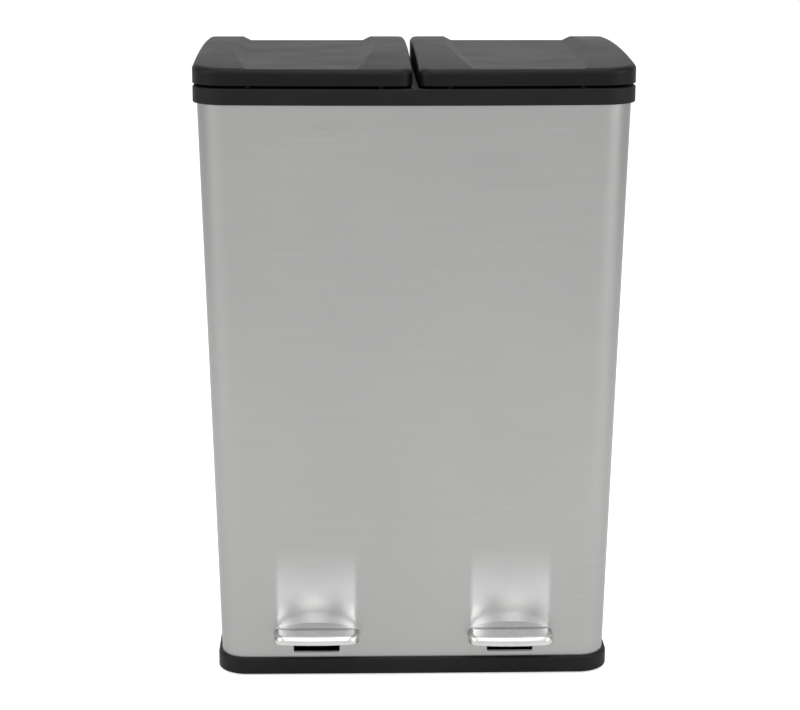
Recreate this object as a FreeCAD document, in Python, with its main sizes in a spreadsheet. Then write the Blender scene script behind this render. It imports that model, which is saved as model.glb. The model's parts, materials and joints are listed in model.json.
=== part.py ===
import FreeCAD, Part
import math
import os
import re
import Sketcher
from FreeCAD import Placement, Rotation, Vector

# Double recycling bin: a tapered steel shell on a moulded base, a moulded collar with two
# lids hinged at its back, two lift-out buckets, and two pedals. Each pedal turns a lever
# on the base, the lever lifts a rod up the back of the shell, and the rod opens its lid.
#
# Millimetres. X runs to the right, Y to the back and Z up. The origin is on the floor
# under the middle of the bin.

doc = FreeCAD.newDocument("recycling_bin")

# ---------------------------------------------------------------- sizes

SIZES = [
    # Collar, the widest piece, and the outline that the lids share
    ("collar_width", 456),
    ("collar_depth", 336.4),
    ("back_reach", 165),
    ("collar_top", 636),
    ("collar_height", 17),
    ("collar_corner", 39),
    ("front_bow", 9.3),
    ("deck", 4),
    ("skirt", 2.5),
    ("collar_edge", 1.5),
    ("bar_width", 18),
    ("opening_side_margin", 20),
    ("opening_front_margin", 24),
    ("opening_back_margin", 34),
    ("opening_corner", 26),
    ("corner_room", 1),
    # Steel shell
    ("sheet", 0.6),
    ("collar_lip", 4),
    ("shell_foot_width", 414.5),
    ("shell_foot_depth", 291),
    ("foot_rise", 1),
    ("foot_corner", 28),
    ("shell_flange", 14),
    ("edge_play", 0.3),
    # Base
    ("foot_reveal", 1.5),
    ("floor_under", 3),
    ("floor", 3),
    ("base_top", 20),
    ("base_lip", 4.5),
    ("base_edge", 2.5),
    ("base_rim", 9),
    ("rib", 2.5),
    ("rib_height", 7),
    ("rib_front", 100),
    ("rib_back", 60),
    # Lids
    ("lid_gap", 5.8),
    ("lid_lift", 3),
    ("lid_wall", 3),
    ("lid_roof", 3),
    ("lid_back_inset", 1.5),
    ("lid_inner_corner", 16),
    ("lid_outer_corner", 38),
    ("lid_back_corner", 14),
    ("lid_edge", 6),
    ("crown_rise", 26.6),
    ("crown_peak", 45),
    ("crown_radius", 2300),
    ("crown_knee_in", 26),
    ("crown_front_radius", 600),
    ("trough_front_depth", 10.1),
    ("trough_back_depth", 7.5),
    ("trough_front_width", 111.6),
    ("trough_back_width", 129),
    ("trough_bank", 1.9),
    ("lid_opening", 80),
    # Hinges
    ("hinge_offset", 5.5),
    ("hinge_rise", 5),
    ("knuckle_radius", 6.5),
    ("pin_radius", 2),
    ("pin_play", 0.05),
    ("knuckle_spread", 90),
    ("lid_knuckle", 24),
    ("end_knuckle", 14),
    ("knuckle_play", 0.5),
    # Scoops and lever slots in the front of the shell
    ("pedal_spread", 209),
    ("ledge", 53.4),
    ("scoop_width", 88),
    ("scoop_top_width", 84),
    ("scoop_depth", 17),
    ("scoop_top", 131),
    ("scoop_fade", 0.4),
    ("slot_width", 48.5),
    ("slot_bottom", 27),
    ("slot_top", 52),
    # Pedals
    ("pedal_width", 92),
    ("pedal_reach", 29.2),
    ("pedal_front_bow", 3),
    ("pedal_corner", 13),
    ("pedal_top", 53.2),
    ("pedal_height", 8.6),
    ("pedal_roll", 5),
    ("pedal_wall", 2.2),
    ("pedal_sheet", 1.8),
    ("pedal_gap", 1),
    ("left_pedal_droop", 0),
    ("right_pedal_droop", 5.5),
    # Levers and axles
    ("lever_width", 26),
    ("lever_sheet", 2),
    ("tongue_width", 38),
    ("tongue_back", 128),
    ("axle_in", 50),
    ("axle_height", 30),
    ("axle_radius", 3),
    ("axle_play", 0.05),
    ("bush_wall", 1.5),
    ("bush_collar", 1.6),
    ("bush_collar_height", 0.8),
    ("ear", 6),
    ("ear_radius", 9),
    ("side_play", 0.3),
    ("clip_radius", 6),
    ("clip", 1.2),
    ("web_rise", 7),
    ("web_knee", 20),
    ("flange_drop", 5),
    ("tongue_reach", 0.8),
    # Push rods
    ("rod_radius", 2),
    ("rod_gap", 7),
    ("rod_side", 6.3),
    ("rod_bend", 6),
    ("hook_height", 18),
    ("hook_reach", 12.8),
    ("hook_play", 0.2),
    ("hook_slip", 1.2),
    ("lever_end", 4.9),
    ("tip_radius", 3.5),
    ("tip_length", 12),
    ("lug_play", 0.9),
    ("lug", 12),
    ("lug_plate", 3),
    ("lug_plate_width", 30),
    ("lug_plate_lift", 10),
    ("lug_sweep", 31),
    ("lug_face_from", 13),
    ("lug_face_to", 28),
    ("lug_nose", 11),
    ("boss_depth", 7.5),
    ("lug_screw_out", 10.5),
    ("well_play", 2.5),
    # Rod guides
    ("guide_low", 122),
    ("guide_high", 542),
    ("guide_rivet_out", 12),
    ("guide_width", 36),
    ("guide_depth", 11),
    ("guide_height", 14),
    ("guide_play", 0.1),
    # Buckets
    ("bucket_wall", 1.8),
    ("bucket_bottom", 66),
    ("bucket_play", 1.2),
    ("bucket_taper", 15),
    ("bucket_rim", 5),
    ("bucket_rim_height", 2.4),
    ("grip_width", 60),
    ("grip_height", 12),
    # Rubber and fasteners
    ("foot_radius", 11),
    ("foot_in", 34),
    ("foot_stem", 3),
    ("buffer_radius", 6),
    ("lid_buffer_radius", 2.5),
    ("lid_buffer_inner", 35),
    ("lid_buffer_outer", 170),
    ("buffer_back", 110),
    ("slack", 0.1),
    ("screw_radius", 1.9),
    ("screw_head", 3.6),
    ("screw_head_height", 1.2),
    ("screw_length", 7),
    ("screw_in", 9),
    ("side_screw_back", 70),
    ("rivet_radius", 1.6),
    ("rivet_head", 3.2),
    ("rivet_head_height", 1),
]

# Places worked out from the sizes, in terms of the names above
PLACES = [
    ("half_width", "collar_width / 2"),
    ("front", "back_reach - collar_depth"),
    ("collar_side", "half_width"),
    ("collar_front", "front"),
    ("collar_back", "back_reach"),
    ("collar_bow", "(half_width ^ 2 + front_bow ^ 2) / (2 * front_bow)"),
    ("bow_middle", "front + collar_bow"),
    ("collar_foot", "collar_top - collar_height"),
    ("deck_under", "collar_top - deck"),
    ("opening_inner", "bar_width / 2"),
    ("opening_outer", "half_width - opening_side_margin"),
    ("opening_front", "front + front_bow + opening_front_margin"),
    ("opening_back", "back_reach - opening_back_margin"),
    ("seat", "floor_under + floor"),
    ("shell_height", "deck_under - seat"),
    ("top_side", "half_width - collar_lip"),
    ("top_front", "front + collar_lip"),
    ("top_back", "back_reach - collar_lip"),
    ("top_bow", "collar_bow - collar_lip"),
    ("top_corner", "collar_corner - collar_lip"),
    ("foot_side", "shell_foot_width / 2"),
    ("foot_front", "-shell_foot_depth / 2"),
    ("foot_back", "shell_foot_depth / 2"),
    ("foot_bow", "(foot_side ^ 2 + foot_rise ^ 2) / (2 * foot_rise)"),
    ("base_side", "foot_side + base_lip"),
    ("base_front", "foot_front - base_lip"),
    ("base_back", "foot_back + base_lip"),
    ("base_bow", "foot_bow + base_lip"),
    ("base_corner", "foot_corner + base_lip"),
    ("lean", "(top_back - foot_back) / shell_height"),
    ("side_lean", "(top_side - foot_side) / shell_height"),
    ("pedal_x", "pedal_spread / 2"),
    ("front_foot_y", "foot_front + pedal_x ^ 2 / (2 * foot_bow)"),
    ("front_top_y", "top_front + pedal_x ^ 2 / (2 * top_bow)"),
    ("front_lean", "(front_top_y - front_foot_y) / shell_height"),
    ("ledge_y", "front_foot_y + front_lean * (ledge - seat)"),
    ("scoop_top_y", "front_foot_y + front_lean * (scoop_top - seat)"),
    ("lid_inner", "lid_gap / 2"),
    ("lid_middle", "(lid_inner + half_width) / 2"),
    ("lid_foot", "collar_top + lid_lift"),
    ("crown_top", "lid_foot + crown_rise"),
    ("trough_front", "crown_top - trough_front_depth"),
    ("trough_back", "crown_top - trough_back_depth"),
    ("lid_back", "back_reach - lid_back_inset"),
    ("hinge_y", "back_reach + hinge_offset"),
    ("hinge_z", "collar_top + hinge_rise"),
    ("knee_y", "front + crown_knee_in"),
    ("knee_run", "crown_peak - knee_y"),
    ("knee_z", "crown_top - crown_radius + sqrt(crown_radius ^ 2 - knee_run ^ 2)"),
    ("nose_y", "knee_y + crown_front_radius * knee_run / crown_radius"),
    ("nose_z", "knee_z - crown_front_radius * sqrt(1 - (knee_run / crown_radius) ^ 2)"),
    ("brow_y", "front - lid_edge"),
    ("brow_z", "nose_z + sqrt(crown_front_radius ^ 2 - (brow_y - nose_y) ^ 2)"),
    ("tail_y", "lid_back + lid_edge"),
    ("tail_z", "crown_top - crown_radius + sqrt(crown_radius ^ 2 - (tail_y - crown_peak) ^ 2)"),
    ("rod_x", "pedal_x + lever_width / 2 + rod_side"),
    ("rod_y", "foot_back - sheet - rod_gap + lean * (hook_height - seat)"),
    ("half_opening", "lid_opening / 2"),
    ("crank", "tan(half_opening)"),
    ("tip_z", "(hinge_z - crank * (hinge_y - rod_y + lean * hook_height)) / (1 - crank * lean)"),
    ("rod_length", "(tip_z - hook_height) * sqrt(1 + lean ^ 2)"),
    ("lug_seat", "lid_foot + lug_plate_lift"),
    ("lug_back", "lid_back - lid_wall - edge_play"),
    ("tip_off", "tip_radius + lug_play"),
    ("wall_gap", "(rod_gap - sheet * lean) / sqrt(1 + lean ^ 2)"),
    ("wall_out", "(rod_gap + sheet) / sqrt(1 + lean ^ 2)"),
    ("axle_y", "-axle_in"),
    ("web_top", "axle_height + web_rise"),
    ("lever_back", "rod_y + lever_end"),
    ("tongue_z", "pedal_top - pedal_sheet"),
    ("bush_radius", "axle_radius + axle_play + bush_wall"),
    ("ear_inner", "lever_width / 2 + bush_collar_height + side_play"),
    ("ear_outer", "ear_inner + ear"),
]

sheet = doc.addObject("Spreadsheet::Sheet", "Size")
for row, (name, size) in enumerate(SIZES, start=1):
    sheet.set("A%d" % row, name)
    sheet.set("B%d" % row, "%g" % size)
    sheet.setAlias("B%d" % row, name)
place = doc.addObject("App::VarSet", "Place")
doc.recompute()
OWNER = {name: "Size." for name, size in SIZES}


def full(text):
    """An expression with each bare name led by the object that holds it."""
    return re.sub(r"[a-z_]+", lambda m: OWNER.get(m.group(), "") + m.group(), text)


def value(text):
    """The number that an expression comes to now."""
    return float(sheet.evalExpression(full(text)))


for name, rule in PLACES:
    place.addProperty("App::PropertyFloat", name)
    place.setExpression(name, full(rule))
    doc.recompute()
    OWNER[name] = "Place."


# ---------------------------------------------------------------- tools of the trade

ORIGIN, V_AXIS, H_AXIS = -1, -2, -1
START, END, MIDDLE = 1, 2, 3
nodes = {}


def bind(item, **rules):
    """Ties properties to expressions; a double underscore stands for a dot."""
    for name, rule in rules.items():
        item.setExpression(name.replace("__", "."), full(rule))


def new_body(label):
    body = doc.addObject("PartDesign::Body", label)
    body.Label = label
    return body


def new_sketch(body, plane, height):
    """A sketch on one of the body's own planes: XY, XZ or YZ, raised along its normal.

    The normals are +Z, -Y and +X.
    """
    sketch = body.newObject("Sketcher::SketchObject", "Sketch")
    role = plane + "_Plane"
    support = [item for item in body.Origin.OriginFeatures if item.Role == role]
    sketch.AttachmentSupport = [(support[0], "")]
    sketch.MapMode = "FlatFace"
    bind(sketch, AttachmentOffset__Base__z=height)
    return sketch


def hold(sketch, geometry, point, across, up):
    """Holds a point of a sketch by its two coordinates."""
    for kind, axis, rule in (("DistanceX", V_AXIS, across), ("DistanceY", H_AXIS, up)):
        if rule == "0":
            sketch.addConstraint(Sketcher.Constraint("PointOnObject", geometry, point, axis))
            continue
        number = sketch.addConstraint(
            Sketcher.Constraint(kind, ORIGIN, START, geometry, point, value(rule)))
        sketch.setExpression("Constraints[%d]" % number, full(rule))


def arc_between(start, end, radius):
    """The short arc from start to end; a positive radius turns left, a negative right."""
    chord = end - start
    size = abs(radius)
    rise = math.sqrt(size ** 2 - (chord.Length / 2) ** 2)
    side = Vector(-chord.y, chord.x, 0).normalize() * math.copysign(rise, radius)
    centre = start + chord / 2 + side
    ends = (start, end) if radius > 0 else (end, start)
    first, last = [math.atan2(p.y - centre.y, p.x - centre.x) for p in ends]
    return Part.ArcOfCircle(Part.Circle(centre, Vector(0, 0, 1), size), first, last)


def add_loop(sketch, points):
    """Adds a closed outline: each point is (across, up), or (across, up, radius) where an
    arc of that radius leads to the next point."""
    corners = [Vector(value(p[0]), value(p[1]), 0) for p in points]
    pieces = []
    for index, point in enumerate(points):
        start, end = corners[index], corners[(index + 1) % len(points)]
        if len(point) == 2:
            pieces.append((sketch.addGeometry(Part.LineSegment(start, end)), START, END))
            continue
        radius = value(point[2])
        number = sketch.addGeometry(arc_between(start, end, radius))
        pieces.append((number, START, END) if radius > 0 else (number, END, START))
    for index, point in enumerate(points):
        number, near, far = pieces[index]
        following, start, end = pieces[(index + 1) % len(points)]
        sketch.addConstraint(Sketcher.Constraint("Coincident", number, far, following, start))
        hold(sketch, number, near, point[0], point[1])
        if len(point) == 3:
            rule = point[2] if value(point[2]) > 0 else "-(%s)" % point[2]
            fixed = sketch.addConstraint(Sketcher.Constraint("Radius", number, value(rule)))
            sketch.setExpression("Constraints[%d]" % fixed, full(rule))


def outline(body, plane, height, *loops):
    """A sketch of one or more closed loops."""
    sketch = new_sketch(body, plane, height)
    for points in loops:
        add_loop(sketch, points)
    return sketch


def discs(body, plane, height, circles):
    """A sketch of circles: each is (across, up, radius)."""
    sketch = new_sketch(body, plane, height)
    for across, up, radius in circles:
        middle = Vector(value(across), value(up), 0)
        circle = Part.Circle(middle, Vector(0, 0, 1), value(radius))
        number = sketch.addGeometry(circle)
        hold(sketch, number, MIDDLE, across, up)
        fixed = sketch.addConstraint(Sketcher.Constraint("Radius", number, value(radius)))
        sketch.setExpression("Constraints[%d]" % fixed, full(radius))
    return sketch


def rectangle(left, right, low, high):
    return [(left, low), (right, low), (right, high), (left, high)]


def rounded_rectangle(left, right, low, high, corner):
    return [("%s + %s" % (left, corner), low), ("%s - %s" % (right, corner), low, corner),
            (right, "%s + %s" % (low, corner)), (right, "%s - %s" % (high, corner), corner),
            ("%s - %s" % (right, corner), high), ("%s + %s" % (left, corner), high, corner),
            (left, "%s - %s" % (high, corner)), (left, "%s + %s" % (low, corner), corner)]


def obround(left, right, middle, radius):
    """A level slot with round ends, between two end centres. Each end is two arcs."""
    low, high = "(%s) - (%s)" % (middle, radius), "(%s) + (%s)" % (middle, radius)
    return [(left, low), (right, low, radius), ("(%s) + (%s)" % (right, radius), middle, radius),
            (right, high), (left, high, radius), ("(%s) - (%s)" % (left, radius), middle, radius)]


def pad(body, sketch, length):
    feature = body.newObject("PartDesign::Pad", "Pad")
    feature.Profile = sketch
    bind(feature, Length=length)
    return feature


def pocket(body, sketch, length):
    """Cuts against the sketch's normal: -Z, +Y or -X."""
    feature = body.newObject("PartDesign::Pocket", "Pocket")
    feature.Profile = sketch
    bind(feature, Length=length)
    return feature


def loft(body, kind, first, last):
    feature = body.newObject("PartDesign::" + kind, kind)
    feature.Profile = first
    feature.Sections = [(last, [""])]
    feature.Ruled = True
    return feature


def revolve(body, sketch):
    """Turns a sketch on the XZ plane about the body's Z axis."""
    feature = body.newObject("PartDesign::Revolution", "Revolution")
    feature.Profile = sketch
    feature.ReferenceAxis = (sketch, ["V_Axis"])
    feature.Angle = 360
    return feature


def round_edges(body, radius, wanted):
    """Rounds the edges of the body that wanted(edge) picks."""
    doc.recompute()
    names = ["Edge%d" % (n + 1) for n, edge in enumerate(body.Shape.Edges) if wanted(edge)]
    base = body.Tip
    feature = body.newObject("PartDesign::Fillet", "Fillet")
    feature.Base = (base, names)
    bind(feature, Radius=radius)
    return feature


def upright(edge):
    """True for a straight edge that climbs more than it runs."""
    run = edge.lastVertex().Point - edge.firstVertex().Point
    straight = abs(run.Length - edge.Length) < 0.01
    return straight and abs(run.z) > 5 * math.hypot(run.x, run.y)


def keep(item, label=None):
    """Names a finished sub-part and lists it for its file."""
    item.Label = label or item.Label
    nodes[item.Label] = item
    return item


def mirror(item, label):
    """The other hand of a sub-part, mirrored in the middle plane of the bin."""
    other = doc.addObject("Part::Mirroring", label)
    other.Source = item
    other.Normal = Vector(1, 0, 0)
    return keep(other, label)


def set_down(item, along, back, up, tilt="0"):
    """Places a sub-part that is built about its own origin, tipped forward or back."""
    item.Placement = Placement(Vector(), Rotation(Vector(1, 0, 0), 1))
    bind(item, Placement__Base__x=along, Placement__Base__y=back, Placement__Base__z=up,
         Placement__Rotation__Angle=tilt)


def group(label, items):
    """One node for several like solids."""
    joined = doc.addObject("Part::Compound", label)
    joined.Links = items
    return keep(joined, label)


# ---------------------------------------------------------------- shared outlines

def bowed_front(side, front, radius, corner):
    """The bowed front of a plan with its two round corners running smoothly into the sides:
    both ends of the bow, and where the corners end. The front is the bow's furthest point."""
    middle = "(%s + %s)" % (front, radius)
    ratio = "(%s) / (%s - (%s))" % (radius, radius, corner)
    across = "(%s - (%s))" % (side, corner)
    drop = "sqrt((%s - (%s)) ^ 2 - %s ^ 2)" % (radius, corner, across)
    bow_end = ("%s * %s" % (across, ratio), "%s - %s * %s" % (middle, drop, ratio))
    side_end = "%s - %s" % (middle, drop)
    start = [("-" + bow_end[0], bow_end[1], radius), bow_end + (corner,), (side, side_end)]
    return start, [("-%s" % side, side_end, corner)]


def bowed_outline(side, front, back, radius, corner):
    """A plan with a bowed front, straight sides and back, and four round corners."""
    start, finish = bowed_front(side, front, radius, corner)
    across, turn = "(%s - (%s))" % (side, corner), "%s - (%s)" % (back, corner)
    return start + [(side, turn, corner), (across, back), ("-" + across, back, corner),
                    ("-%s" % side, turn)] + finish


def plan(which, inset="0"):
    """The plan of the collar, shell or base, set in all round by a distance."""
    return bowed_outline("({0}_side - ({1}))".format(which, inset),
                         "({0}_front + ({1}))".format(which, inset),
                         "({0}_back - ({1}))".format(which, inset),
                         "({0}_bow - ({1}))".format(which, inset),
                         "({0}_corner - ({1}))".format(which, inset))


def opening_outline(grow):
    """The plan of the right-hand bucket opening, grown by a distance."""
    inner, outer = "(opening_inner - (%s))" % grow, "(opening_outer + (%s))" % grow
    front, back = "(opening_front - (%s))" % grow, "(opening_back + (%s))" % grow
    corner = "(opening_corner + (%s))" % grow
    return rounded_rectangle(inner, outer, front, back, corner)


def flip(points):
    """The same loop on the left-hand side, still turning the same way round."""
    turned = [("-(%s)" % p[0], p[1]) for p in points]
    radii = [p[2:] for p in points]
    order = range(len(points) - 1, -1, -1)
    return [turned[n] + radii[n - 1] for n in order]


# ---------------------------------------------------------------- steel shell

def make_shell():
    """Tapered sheet-steel shell with a turned-in foot, two stamped scoops and two slots."""
    body = new_body("steel_shell")
    loft(body, "AdditiveLoft", outline(body, "XY", "seat", plan("foot")),
         outline(body, "XY", "deck_under", plan("top")))
    loft(body, "SubtractiveLoft", outline(body, "XY", "seat + sheet", plan("foot", "sheet")),
         outline(body, "XY", "deck_under", plan("top", "sheet")))
    pocket(body, outline(body, "XY", "seat + sheet", plan("foot", "shell_flange")), "sheet")
    for side in ("-", "+"):
        middle = "%s pedal_x" % side
        make_scoop(body, middle)
        pocket(body, outline(body, "XZ", "-front", rectangle(
            middle + " - slot_width / 2", middle + " + slot_width / 2",
            "slot_bottom", "slot_top")), "scoop_depth - front + foot_front")
    pocket(body, discs(body, "XY", "seat + sheet", [
        (x, y, "screw_radius + axle_play") for x, y in base_screw_places()]), "sheet")
    half, holes = "(rivet_radius + slack)", []
    for level in ("guide_low", "guide_high"):
        up = "hook_height + (%s - wall_gap * lean) / sqrt(1 + lean ^ 2)" % level
        for hand, side in (("", "-"), ("", "+"), ("-", "-"), ("-", "+")):
            middle = "%s(rod_x %s guide_rivet_out)" % (hand, side)
            holes.append(rectangle(middle + " - " + half, middle + " + " + half,
                                   up + " - " + half, up + " + " + half))
    pocket(body, outline(body, "XZ", "2 * sheet - foot_back", *holes),
           "top_back - foot_back")
    return keep(body)


def scoop_section(body, level, middle, face, width, depth, lead):
    """One level section of a scoop: an arc bulging into the shell from a chord on its face,
    and a lead that stands out in front of the face."""
    half = "(%s) / 2" % width
    radius = "((%s) ^ 2 + (%s) ^ 2) / (2 * (%s))" % (half, depth, depth)
    left, right = "%s - %s" % (middle, half), "%s + %s" % (middle, half)
    arcs = [(right, face, radius), (middle, "%s + %s" % (face, depth), radius)]
    if lead is None:
        return outline(body, "XY", level, [(left, face)] + arcs)
    out = "%s - %s" % (face, lead)
    return outline(body, "XY", level, [(left, face), (left, out), (right, out)] + arcs)


def make_scoop(body, middle):
    """The dished recess over a pedal: deepest at its level ledge, fading out upwards. The
    sheet behind it is added first."""
    inside = " + sheet / 2"
    loft(body, "AdditiveLoft",
         scoop_section(body, "ledge - sheet", middle, "ledge_y" + inside,
                       "scoop_width + 2 * sheet", "(scoop_depth + sheet / 2)", None),
         scoop_section(body, "scoop_top + sheet", middle, "scoop_top_y" + inside,
                       "scoop_top_width + 2 * sheet", "(scoop_fade + sheet / 2)", None))
    loft(body, "SubtractiveLoft",
         scoop_section(body, "ledge", middle, "ledge_y", "scoop_width", "scoop_depth",
                       "pedal_reach"),
         scoop_section(body, "scoop_top", middle, "scoop_top_y", "scoop_top_width",
                       "scoop_fade", "pedal_reach"))


# ---------------------------------------------------------------- collar

def knuckle_spans(owner):
    """The stretches of the right-hand hinge line that the collar or the lid fills."""
    half, lid = "knuckle_spread / 2", "lid_knuckle / 2"
    if owner == "lid":
        return [("lid_middle + %s%s - %s" % (side, half, lid), "lid_knuckle")
                for side in ("-", "")]
    inner = "%s - %s - knuckle_play" % (half, lid)
    outer = "%s + %s + knuckle_play" % (half, lid)
    return [("lid_middle - (%s) - end_knuckle" % outer, "end_knuckle"),
            ("lid_middle - (%s)" % inner, "2 * (%s)" % inner),
            ("lid_middle + %s" % outer, "end_knuckle")]


def knuckles(body, owner, web, hands=("",)):
    """Pads the side outline of a barrel along its stretches of the hinge line, and bores
    them for the pin."""
    for hand in hands:
        for start, length in knuckle_spans(owner):
            first = "-(%s) - (%s)" % (start, length) if hand else start
            pad(body, outline(body, "YZ", first, web), length)
    pocket(body, discs(body, "YZ", "half_width", [("hinge_y", "hinge_z",
                                                   "pin_radius + pin_play")]),
           "collar_width")


HANDS = (lambda points: points, flip)


def make_collar():
    """Moulded collar: an outer skirt over the shell's edge, a deck with two openings, a
    tongue inside the shell, skirts round the openings, wells for the lid lugs and the
    hinge knuckles."""
    body = new_body("top_collar")
    pad(body, outline(body, "XY", "collar_foot", plan("collar")), "collar_height")
    rims = [value("collar_top"), value("collar_foot")]
    round_edges(body, "collar_edge", lambda e: e.BoundBox.ZLength < 0.01
                and min(abs(e.CenterOfMass.z - rim) for rim in rims) < 0.01)
    hollow = pocket(body, outline(body, "XY", "collar_foot",
                                  plan("collar", "collar_lip - edge_play")),
                    "collar_height - deck")
    hollow.Reversed = True
    tongue = "collar_lip + sheet + corner_room"
    pad(body, outline(body, "XY", "collar_foot + deck", plan("collar", tongue),
                      plan("collar", tongue + " + skirt")), "collar_height - 1.5 * deck")
    for hand in HANDS:
        pad(body, outline(body, "XY", "collar_foot", hand(opening_outline("skirt")),
                          hand(opening_outline("0"))), "collar_height - deck / 2")
        pocket(body, outline(body, "XY", "collar_top + deck", hand(opening_outline("0"))),
               "2 * deck")
        pocket(body, outline(body, "XY", "collar_top + deck", hand(rounded_rectangle(
            "(rod_x - lug / 2 - well_play)", "(rod_x + lug / 2 + well_play)",
            "(hinge_y - lug_sweep - well_play)",
            "(back_reach - collar_lip + edge_play)", "well_play"))), "collar_height")
    foot = "hinge_z - 2 * knuckle_radius"
    knuckles(body, "collar", [
        ("back_reach - skirt", foot), ("back_reach", foot),
        ("hinge_y + knuckle_radius", "hinge_z", "knuckle_radius"),
        ("hinge_y", "hinge_z + knuckle_radius", "knuckle_radius"),
        ("hinge_y - knuckle_radius", "hinge_z"),
        ("hinge_y - knuckle_radius", "collar_top - deck / 2"),
        ("back_reach - skirt", "collar_top - deck / 2")], ("", "-"))
    return keep(body)


# ---------------------------------------------------------------- base

def make_base():
    """Moulded base: a rim round the shell's foot, a ribbed floor, and four ears that carry
    the two axles."""
    body = new_body("base_tray")
    pad(body, outline(body, "XY", "foot_reveal", plan("base")), "base_top - foot_reveal")
    rims = [value("base_top"), value("foot_reveal")]
    round_edges(body, "base_edge", lambda e: e.BoundBox.ZLength < 0.01
                and min(abs(e.CenterOfMass.z - rim) for rim in rims) < 0.01)
    room = "-(edge_play + side_lean * (base_top - seat))"
    pocket(body, outline(body, "XY", "base_top", plan("foot", room)), "base_top - seat")
    under = pocket(body, outline(body, "XY", "foot_reveal", plan("base", "base_rim")),
                   "floor_under - foot_reveal")
    under.Reversed = True
    half, reach = "foot_side - shell_flange - edge_play", "rib_front + rib"
    for low, high in (("-rib_front - rib", "-rib_front"), ("rib_back", "rib_back + rib")):
        pad(body, outline(body, "XY", "seat - floor / 2", rectangle(
            "-(%s)" % half, half, low, high)), "rib_height + floor / 2")
    pad(body, outline(body, "XY", "seat - floor / 2", rectangle(
        "-rib / 2", "rib / 2", "-(%s)" % reach, reach)), "rib_height + floor / 2")
    ear = [("axle_y - ear_radius", "seat - floor / 2"),
           ("axle_y + ear_radius", "seat - floor / 2"),
           ("axle_y + ear_radius", "axle_height", "ear_radius"),
           ("axle_y", "axle_height + ear_radius", "ear_radius"),
           ("axle_y - ear_radius", "axle_height")]
    for start in ("pedal_x + ear_inner", "pedal_x - ear_outer", "-pedal_x + ear_inner",
                  "-pedal_x - ear_outer"):
        pad(body, outline(body, "YZ", start, ear), "ear")
    pocket(body, discs(body, "YZ", "half_width", [("axle_y", "axle_height",
                                                   "axle_radius + axle_play")]),
           "collar_width")
    holes = [(x, y, "foot_stem + axle_play") for x, y in foot_places()]
    holes += [(x, y, "screw_radius + axle_play") for x, y in base_screw_places()]
    pocket(body, discs(body, "XY", "seat", holes), "floor + 1")
    return keep(body)


def foot_places():
    return [(x + "(base_side - foot_in)", y + "(base_back - foot_in)")
            for x in ("", "-") for y in ("", "-")]


def base_screw_places():
    sides = [(x + "(foot_side - screw_in)", y + "side_screw_back")
             for x in ("", "-") for y in ("", "-")]
    return sides + [("0", "foot_back - screw_in"), ("0", "foot_front + screw_in")]


def make_feet():
    """Four rubber feet, each with a stem pressed up through the floor."""
    feet = []
    for number, (x, y) in enumerate(foot_places()):
        body = new_body("foot_%d" % (number + 1))
        revolve(body, outline(body, "XZ", "0", [
            ("0", "0"), ("foot_radius - foot_reveal", "0"), ("foot_radius", "foot_reveal"),
            ("foot_radius", "floor_under"), ("foot_stem", "floor_under"),
            ("foot_stem", "seat + foot_reveal"), ("0", "seat + foot_reveal")]))
        set_down(body, x, y, "0")
        feet.append(body)
    return group("rubber_feet", feet)


def make_screw(label, turn, length="screw_length"):
    """A pan-head screw about its own axis, with its shank up from the underside of what it
    holds at the origin."""
    body = new_body(label)
    revolve(body, outline(body, "XZ", "0", [
        ("0", "-screw_head_height"), ("screw_head - screw_head_height / 2",
                                      "-screw_head_height"),
        ("screw_head", "0"), ("screw_radius", "0"), ("screw_radius", length),
        ("0", "(%s) + screw_radius" % length)]))
    return body


def make_base_screws():
    screws = []
    for number, (x, y) in enumerate(base_screw_places()):
        body = make_screw("base_screw_%d" % (number + 1), "0")
        set_down(body, x, y, "floor_under")
        screws.append(body)
    return group("base_screws", screws)


# ---------------------------------------------------------------- lids

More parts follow.
